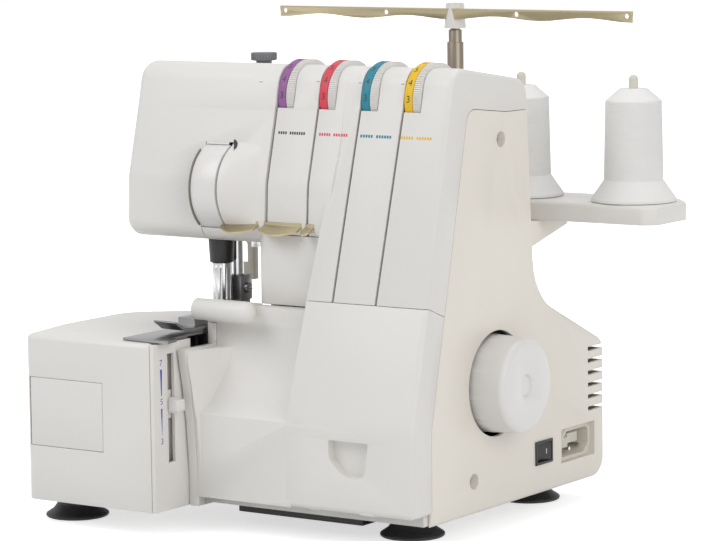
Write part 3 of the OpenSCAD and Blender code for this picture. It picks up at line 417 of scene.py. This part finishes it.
SCALE_X, SCALE_Y = -169, -45.6
FIGURE_SIZE = 5.4
FIGURE_ZS = {"7": 94.6, "5": 70.2, "3": 45.3}
strip = bpy.data.objects["slider_panel_soft"]
wedges = [([(-1.0, 90.5), (1.0, 90.5), (0.35, 74.0), (-0.35, 74.0)], [(3, 2, 1, 0)]),
          ([(-0.75, 66.0), (0.75, 66.0), (0.1, 49.0), (-0.1, 49.0)], [(3, 2, 1, 0)])]
figures = [moved(glyph(text, FIGURE_SIZE), 0, z) for text, z in FIGURE_ZS.items()]
stamp("width_scale", wedges + figures, strip, at(SCALE_X, SCALE_Y, 0), BACK, UP, "mark_blue")
SWITCH_Y, SWITCH_Z = 131.4, 26.6
rocker = bpy.data.objects["switch_rocker_soft"]
stamp("switch_marks", [bar(3.6, -1.6, 4.1, 1.6)], rocker, at(2, SWITCH_Y, SWITCH_Z), BACK, UP,
      "white_plastic", "rocker")
print("marks on:", cover.name, strip.name, rocker.name)


# %% The pale channel behind the slider's slot, paler than the plastic as painted light
def blocks(name, boxes, body, slot, finish_name, soft=0.2):
    """Closed boxes with softened edges as one mesh, each given by two corners on the body."""
    bm = bmesh.new()
    for low, high in boxes:
        cube = bmesh.ops.create_cube(bm, size=1.0)["verts"]
        a, b = at(*low), at(*high)
        for v in cube:
            v.co = Vector([a[i] if v.co[i] < 0 else b[i] for i in range(3)])
    bmesh.ops.bevel(bm, geom=bm.edges[:], offset=soft / 1000, segments=2, profile=0.5, affect="EDGES")
    return add_piece(name, mesh_from(bm, name, finish_name), None, body, slot)


# the channel's pale colour is partly its own and partly painted light, standing in for light that reaches
# into the slot
CHANNEL_X0, CHANNEL_X1 = -176.5, -172.3
CHANNEL_Y0, CHANNEL_Y1, CHANNEL_Z0, CHANNEL_Z1 = -46.0, -25.0, 26.0, 104.0
blocks("slot_channel",
       [((CHANNEL_X0, CHANNEL_Y0, CHANNEL_Z0), (CHANNEL_X0 + 0.9, CHANNEL_Y1, CHANNEL_Z1)),
        ((CHANNEL_X0 + 0.5, CHANNEL_Y0, CHANNEL_Z0), (CHANNEL_X1, CHANNEL_Y0 + 1, CHANNEL_Z1)),
        ((CHANNEL_X0 + 0.5, CHANNEL_Y1 - 1, CHANNEL_Z0), (CHANNEL_X1, CHANNEL_Y1, CHANNEL_Z1))],
       "machine", "grey_plastic", "slot_liner_painted_light")
print("slot channel set")

# %% [markdown]
# ## Round the take-up lever
# The lever fills its window: the head's own face closes in above and below it, a dark strip of painted shade
# runs down its left side where the groove is, and the head swells towards it on the right.


# %% Ledges, painted groove shade, swelling and painted shade of the gap at the top
LEVER_Y, LEVER_Z, LEVER_R = 28.5, 198.0, 30.0
LEVER_X0, LEVER_X1 = -177.6, -156.8
head = bpy.data.objects["face_cover_soft"]
HEAD_SURFACE = surface_of(head)


def face_y(z):
    """Depth of the head's front at height z, read beside the lever."""
    hit = HEAD_SURFACE.ray_cast(at(-190, -40, z), Vector(BACK))[0]
    return hit.y * 1000 - DATUM.y


def lever_arc(radius, first, last, steps=24):
    """Points on a circle about the lever's axis, from one angle to another in degrees."""
    angles = [math.radians(first + (last - first) * k / steps) for k in range(steps + 1)]
    return [(LEVER_Y + radius * math.cos(a), LEVER_Z + radius * math.sin(a)) for a in angles]


def extruded(name, outline, x0, x1, slot, finish_name):
    """A closed prism on the machine, along x from an outline of (y, z) points."""
    bm = bmesh.new()
    ends = [[bm.verts.new(at(x, y, z)) for y, z in outline] for x in (x0, x1)]
    for k in range(len(outline)):
        j = (k + 1) % len(outline)
        bm.faces.new([ends[0][k], ends[0][j], ends[1][j], ends[1][k]])
    caps = [bm.faces.new(end) for end in ends]
    bmesh.ops.triangulate(bm, faces=caps)
    return add_piece(name, mesh_from(bm, name, finish_name), None, "machine", slot)


LEDGE_GAP = 0.5   # the lever turns inside this clearance
LEDGE_X0, LEDGE_X1 = LEVER_X0 + 0.1, -160.2
ledge_top = [(face_y(z), z) for z in (225.8, 226.3, 226.8, 227.35)]
extruded("lever_ledge_top", ledge_top + lever_arc(LEVER_R + LEDGE_GAP, 103, 114, 8), LEDGE_X0, LEDGE_X1,
         "white_plastic", "white_plastic")
ledge_low = [(face_y(z), z) for z in (173.6, 172.5, 170.5, 168.5, 167.2, 166.1)] + [(23.0, 166.1)]
extruded("lever_ledge_low", ledge_low + lever_arc(LEVER_R + LEDGE_GAP, 258, 234, 12), LEDGE_X0, LEVER_X1,
         "white_plastic", "white_plastic")
# a dark strip just past the lever's left edge, its colour painted shade for the groove there
GROOVE_WIDTH, GROOVE_X0 = 0.9, -178.4
extruded("lever_groove_shade", lever_arc(LEVER_R + GROOVE_WIDTH, 125, 229) + lever_arc(LEVER_R - 5, 229, 125),
         GROOVE_X0, LEVER_X0 - 0.15, "grey_plastic", "groove_painted_shade")

SWELL_X1, SWELL_Z0, SWELL_Z1 = -131.0, 168.0, 231.0
SWELL_COLUMNS, SWELL_ROWS = 30, 60
# how softly the swelling leaves the head, and how far it lies below it there
SWELL_EASE, SWELL_REST, SWELL_SUNK = 4, 0.1, 0.03


def swell(x, z):
    """How far the head stands out towards the lever, faded so that no edge shows."""
    stand = face_y(z) - (LEVER_Y - math.sqrt(max(LEVER_R ** 2 - (z - LEVER_Z) ** 2, 0)))
    stand = 0.5 * (stand + math.sqrt(stand ** 2 + SWELL_EASE)) - SWELL_REST
    t = (x - LEVER_X1) / (SWELL_X1 - LEVER_X1)
    return stand * (1 - t * t * (3 - 2 * t)) - SWELL_SUNK


def build_swelling():
    """A closed sheet on the head: a front of swelled places, a back inside the head, and four sides."""
    bm = bmesh.new()
    sheets = []
    for inner in (False, True):
        rows = []
        for j in range(SWELL_ROWS + 1):
            z = SWELL_Z0 + (SWELL_Z1 - SWELL_Z0) * j / SWELL_ROWS
            deep = face_y(z)
            xs = [LEVER_X1 + (SWELL_X1 - LEVER_X1) * i / SWELL_COLUMNS for i in range(SWELL_COLUMNS + 1)]
            rows.append([bm.verts.new(at(x, deep + 1 if inner else deep - swell(x, z), z)) for x in xs])
        sheets.append(rows)
    front, back = sheets
    for j in range(SWELL_ROWS):
        for i in range(SWELL_COLUMNS):
            for rows in sheets:
                bm.faces.new([rows[j][i], rows[j][i + 1], rows[j + 1][i + 1], rows[j + 1][i]])
    for j in range(SWELL_ROWS):
        for i in (0, SWELL_COLUMNS):
            bm.faces.new([front[j][i], front[j + 1][i], back[j + 1][i], back[j][i]])
    for i in range(SWELL_COLUMNS):
        for j in (0, SWELL_ROWS):
            bm.faces.new([front[j][i], front[j][i + 1], back[j][i + 1], back[j][i]])
    return add_piece("lever_swelling", mesh_from(bm, "lever_swelling"), None, "machine", "white_plastic")


swelling = build_swelling()
# a dark crescent on the swelling is painted shade for the gap at the top of the lever
crescent = [(-156.6, 229.4), (-155.0, 228.9), (-153.3, 227.0), (-152.2, 224.2), (-152.6, 222.4),
            (-154.6, 225.2), (-156.6, 226.6)]
stamp("lever_gap_shade", [(crescent, [tuple(range(len(crescent)))])], swelling, at(0, 0, 0), RIGHT, UP,
      "dark_print_and_shade")
print("lever surround:", swelling.name)

# %% [markdown]
# At the back, a narrow strip closes the joint between the rear cover and the head, flush with both.

# %% Closing strip at the back
STRIP_X0, STRIP_X1, STRIP_WALL = -99.8, -88.8, 2.4
STRIP_LOW, STRIP_STRAIGHT, STRIP_TOP = 164.6, 180.0, 245.7
BACK_SURFACE = surface_of(bpy.data.objects["tension_cover_soft"])


def back_y(z):
    """Depth of the head's back at height z, read just left of the strip."""
    hit = BACK_SURFACE.ray_cast(at(-103, 150, max(z, STRIP_STRAIGHT)), Vector((0, -1, 0)))[0]
    return hit.y * 1000 - DATUM.y


STRIP_STEPS = 24
levels = [STRIP_LOW] + [STRIP_STRAIGHT + (STRIP_TOP - STRIP_STRAIGHT) * k / STRIP_STEPS
                        for k in range(STRIP_STEPS + 1)]
skin = [(back_y(z), z) for z in levels]
extruded("back_strip", skin + [(y - STRIP_WALL, z) for y, z in reversed(skin)], STRIP_X0, STRIP_X1,
         "beige_plastic", "beige_plastic")
print("back strip from", STRIP_LOW, "to", STRIP_TOP)

# %% [markdown]
# The guide bar is held on its pole by a pale tapered sleeve.

# %% Sleeve on the thread pole
POLE_X, STAND_Y = -87.0, 168.0
SLEEVE_Z0, SLEEVE_Z1, SLEEVE_FOOT, SLEEVE_TOP = 293.1, 308.9, 7.2, 5.8


def build_sleeve():
    bm = bmesh.new()
    bmesh.ops.create_cone(bm, cap_ends=True, segments=48, radius1=SLEEVE_FOOT / 1000,
                          radius2=SLEEVE_TOP / 1000, depth=(SLEEVE_Z1 - SLEEVE_Z0) / 1000)
    bmesh.ops.translate(bm, verts=bm.verts, vec=at(POLE_X, STAND_Y, (SLEEVE_Z0 + SLEEVE_Z1) / 2))
    return add_piece("pole_sleeve", mesh_from(bm, "pole_sleeve"), None, "guide_stage", "white_plastic")


print("sleeve:", build_sleeve().name)

# %% [markdown]
# ## Thread and grips
# Two small Geometry Nodes trees do the repeating work. One winds a thread round a cone, the other sets a ring
# of ribs round a knob.


# %% Geometry Nodes trees
def new_tree(name, inputs):
    tree = bpy.data.node_groups.new(name, "GeometryNodeTree")
    tree.interface.new_socket("Geometry", in_out="OUTPUT", socket_type="NodeSocketGeometry")
    for label, kind, default in inputs:
        socket = tree.interface.new_socket(label, in_out="INPUT", socket_type=kind)
        if default is not None:
            socket.default_value = default
    return tree, tree.nodes.new("NodeGroupInput"), tree.nodes.new("NodeGroupOutput")


def end_tree(tree, ins, outs, last):
    real = tree.nodes.new("GeometryNodeRealizeInstances")
    paint = tree.nodes.new("GeometryNodeSetMaterial")
    tree.links.new(last, real.inputs["Geometry"])
    tree.links.new(real.outputs["Geometry"], paint.inputs["Geometry"])
    tree.links.new(ins.outputs["Finish"], paint.inputs["Material"])
    tree.links.new(paint.outputs["Geometry"], outs.inputs["Geometry"])
    return tree


def build_winding():
    tree, ins, outs = new_tree("thread_winding", [
        ("Turns", "NodeSocketFloat", 60.0), ("Bottom radius", "NodeSocketFloat", 0.0187),
        ("Top radius", "NodeSocketFloat", 0.0175), ("Height", "NodeSocketFloat", 0.05),
        ("Thread radius", "NodeSocketFloat", 0.0004), ("Finish", "NodeSocketMaterial", None)])
    spiral = tree.nodes.new("GeometryNodeCurveSpiral")
    spiral.inputs["Resolution"].default_value = 40
    strand = tree.nodes.new("GeometryNodeCurvePrimitiveCircle")
    strand.inputs["Resolution"].default_value = 6
    sweep = tree.nodes.new("GeometryNodeCurveToMesh")
    sweep.inputs["Fill Caps"].default_value = True
    tree.links.new(ins.outputs["Turns"], spiral.inputs["Rotations"])
    tree.links.new(ins.outputs["Bottom radius"], spiral.inputs["Start Radius"])
    tree.links.new(ins.outputs["Top radius"], spiral.inputs["End Radius"])
    tree.links.new(ins.outputs["Height"], spiral.inputs["Height"])
    tree.links.new(ins.outputs["Thread radius"], strand.inputs["Radius"])
    tree.links.new(spiral.outputs["Curve"], sweep.inputs["Curve"])
    tree.links.new(strand.outputs["Curve"], sweep.inputs["Profile Curve"])
    return end_tree(tree, ins, outs, sweep.outputs["Mesh"])


def build_rib_ring():
    tree, ins, outs = new_tree("rib_ring", [
        ("Count", "NodeSocketInt", 24), ("Radius", "NodeSocketFloat", 0.008),
        ("Size", "NodeSocketVector", (0.001, 0.001, 0.004)), ("Finish", "NodeSocketMaterial", None)])
    circle = tree.nodes.new("GeometryNodeMeshCircle")
    rib = tree.nodes.new("GeometryNodeMeshCube")
    place = tree.nodes.new("GeometryNodeInstanceOnPoints")
    spot = tree.nodes.new("GeometryNodeInputPosition")
    aim = tree.nodes.new("FunctionNodeAlignRotationToVector")
    tree.links.new(ins.outputs["Count"], circle.inputs["Vertices"])
    tree.links.new(ins.outputs["Radius"], circle.inputs["Radius"])
    tree.links.new(ins.outputs["Size"], rib.inputs["Size"])
    tree.links.new(circle.outputs["Mesh"], place.inputs["Points"])
    tree.links.new(rib.outputs["Mesh"], place.inputs["Instance"])
    tree.links.new(spot.outputs["Position"], aim.inputs["Vector"])
    aim.axis = "X"
    tree.links.new(aim.outputs["Rotation"], place.inputs["Rotation"])
    return end_tree(tree, ins, outs, place.outputs["Instances"])


def grown(name, tree, matrix, body, slot, **values):
    """Evaluate a tree with its named inputs set, and keep the result as one plain mesh."""
    host = bpy.data.objects.new(name + "_host", bpy.data.meshes.new(name + "_host"))
    bpy.context.scene.collection.objects.link(host)
    modifier = host.modifiers.new("grow", "NODES")
    modifier.node_group = tree
    values = {**values, "Finish": FINISH[slot]}
    for item in tree.interface.items_tree:
        if item.in_out == "INPUT" and item.name in values:
            modifier[item.identifier] = values[item.name]
    host.update_tag()
    depsgraph = bpy.context.evaluated_depsgraph_get()
    mesh = bpy.data.meshes.new_from_object(host.evaluated_get(depsgraph))
    bpy.data.objects.remove(host)
    mesh.transform(matrix)
    mesh.name = name
    return add_piece(name, mesh, None, body, slot, sharp=60)


WINDING = build_winding()
RIB_RING = build_rib_ring()
PIN_XS = [45.5, -37, -137, -219]
WINDING_Z = 200.6
WOUND = {"Turns": 58.0, "Bottom radius": 0.01855, "Top radius": 0.01745, "Height": 0.0492,
         "Thread radius": 0.00046}
for i, x in enumerate(PIN_XS):
    cone = "thread_cone_%d" % (i + 1)
    grown("winding_%d" % (i + 1), WINDING, Matrix.Translation(at(x, STAND_Y, WINDING_Z)), NODE_BODY[cone],
          "thread_white", **WOUND)
along_x = Matrix.Rotation(math.radians(90), 4, "Y")
for i, x in enumerate(DIAL_XS):
    node = "tension_dial_%d" % (i + 1)
    middle = x + (BAND_X1 + GRIP_X1) / 2 + 0.15
    grown(node + "_ribs", RIB_RING, Matrix.Translation(at(middle, DIAL_Y, DIAL_Z)) @ along_x, NODE_BODY[node],
          "white_plastic", Count=110, Radius=(GRIP_R + 0.1) / 1000, Size=(0.0009, 0.0007, 0.0052))
KNOB_X, KNOB_Y, KNOB_Z = -163, 60, 279
grown("knob_ribs", RIB_RING, Matrix.Translation(at(KNOB_X, KNOB_Y, KNOB_Z)), "pressure_screw", "grey_plastic",
      Count=28, Radius=0.0079, Size=(0.0008, 0.0007, 0.0046))
print("trees:", WINDING.name, RIB_RING.name)

# %% [markdown]
# ## Camera and light
# A long lens far from the machine keeps its edges nearly parallel. Wide soft lamps and a pale room light it.

# %% Camera
CAMERA_PLACE = (1.16995, -1.73202, 0.41560)
CAMERA_FORWARD = Vector((-0.55628, 0.82193, -0.12239))
CAMERA_RIGHT = Vector((0.82895, 0.55918, -0.01247))
CAMERA_UP = Vector((-0.05819, 0.10839, 0.99240))
camera_data = bpy.data.cameras.new("camera")
camera_data.sensor_width = 36
camera_data.lens = 166.5
camera_data.clip_end = 50
camera = bpy.data.objects.new("camera", camera_data)
bpy.context.scene.collection.objects.link(camera)
rotation = Matrix((CAMERA_RIGHT, CAMERA_UP, -CAMERA_FORWARD)).transposed().to_4x4()
camera.matrix_world = Matrix.Translation(CAMERA_PLACE) @ rotation
bpy.context.scene.camera = camera
bpy.context.scene.view_settings.view_transform = "Standard"
print("camera at", tuple(round(v, 3) for v in camera.location))


# %% Floor, room and lamps
FLOOR_NEAR, FLOOR_FAR, FLOOR_HALF = 0.25, 0.75, 6
GLOW_NEAR, GLOW_FAR = 0.62, 1.0
ROOM_STRENGTH = 0.50


def seen_directly(tree):
    """1 for camera, mirror and glass rays, which see plain white, and 0 for all other rays."""
    path = tree.nodes.new("ShaderNodeLightPath")
    seen = path.outputs["Is Camera Ray"]
    for other in ("Is Glossy Ray", "Is Transmission Ray"):
        either = tree.nodes.new("ShaderNodeMath")
        either.operation = "MAXIMUM"
        tree.links.new(seen, either.inputs[0])
        tree.links.new(path.outputs[other], either.inputs[1])
        seen = either.outputs[0]
    return seen


world = bpy.data.worlds.new("room")
bpy.context.scene.world = world
world.use_nodes = True
room = world.node_tree
room.nodes.clear()
plain = room.nodes.new("ShaderNodeBackground")
plain.inputs["Color"].default_value = (0.93, 0.95, 1.0, 1)
plain.inputs["Strength"].default_value = ROOM_STRENGTH
white = room.nodes.new("ShaderNodeBackground")
white.inputs["Color"].default_value = (1, 1, 1, 1)
white.inputs["Strength"].default_value = 1.0
pick = room.nodes.new("ShaderNodeMixShader")
room.links.new(seen_directly(room), pick.inputs["Fac"])
room.links.new(plain.outputs[0], pick.inputs[1])
room.links.new(white.outputs[0], pick.inputs[2])
room_out = room.nodes.new("ShaderNodeOutputWorld")
room.links.new(pick.outputs[0], room_out.inputs["Surface"])

floor_material = bpy.data.materials.new("studio_floor")
floor_material.use_nodes = True
floor_tree = floor_material.node_tree
floor_shader = floor_tree.nodes["Principled BSDF"]
floor_shader.inputs["Base Color"].default_value = (0.82, 0.82, 0.82, 1)
floor_shader.inputs["Roughness"].default_value = 0.9
floor_shader.inputs["Specular IOR Level"].default_value = 0.1
glow = floor_tree.nodes.new("ShaderNodeMath")
glow.operation = "MULTIPLY"
place = floor_tree.nodes.new("ShaderNodeTexCoord")
reach = floor_tree.nodes.new("ShaderNodeVectorMath")
reach.operation = "LENGTH"
floor_tree.links.new(place.outputs["Object"], reach.inputs[0])
fade = floor_tree.nodes.new("ShaderNodeMapRange")
fade.inputs["From Min"].default_value = FLOOR_NEAR
fade.inputs["From Max"].default_value = FLOOR_FAR
fade.inputs["To Min"].default_value = GLOW_NEAR
fade.inputs["To Max"].default_value = GLOW_FAR
floor_tree.links.new(reach.outputs["Value"], fade.inputs["Value"])
floor_tree.links.new(fade.outputs["Result"], glow.inputs[1])
floor_tree.links.new(seen_directly(floor_tree), glow.inputs[0])
floor_shader.inputs["Emission Color"].default_value = (1, 1, 1, 1)
floor_tree.links.new(glow.outputs[0], floor_shader.inputs["Emission Strength"])
floor_mesh = bpy.data.meshes.new("floor")
floor_corners = [(-1, -1), (1, -1), (1, 1), (-1, 1)]
floor_mesh.from_pydata([(FLOOR_HALF * x, FLOOR_HALF * y, 0) for x, y in floor_corners], [], [(0, 1, 2, 3)])
floor_mesh.materials.append(floor_material)
floor = bpy.data.objects.new("floor", floor_mesh)
bpy.context.scene.collection.objects.link(floor)


def lamp(name, place, target, size, power, colour=(1, 1, 1)):
    """A square area lamp at place that faces the target."""
    data = bpy.data.lights.new(name, "AREA")
    data.size = size
    data.energy = power
    data.color = colour
    thing = bpy.data.objects.new(name, data)
    bpy.context.scene.collection.objects.link(thing)
    thing.location = place
    thing.rotation_euler = (Vector(target) - Vector(place)).to_track_quat("-Z", "Y").to_euler()


lamp("key", (-0.9, -1.6, 1.7), (0, 0, 0.15), 1.4, 18)
lamp("fill", (1.9, -0.6, 0.9), (0, 0, 0.15), 1.6, 13, (1.0, 0.97, 0.93))
lamp("top", (0.1, 0.4, 2.2), (0, 0, 0.1), 1.6, 11)
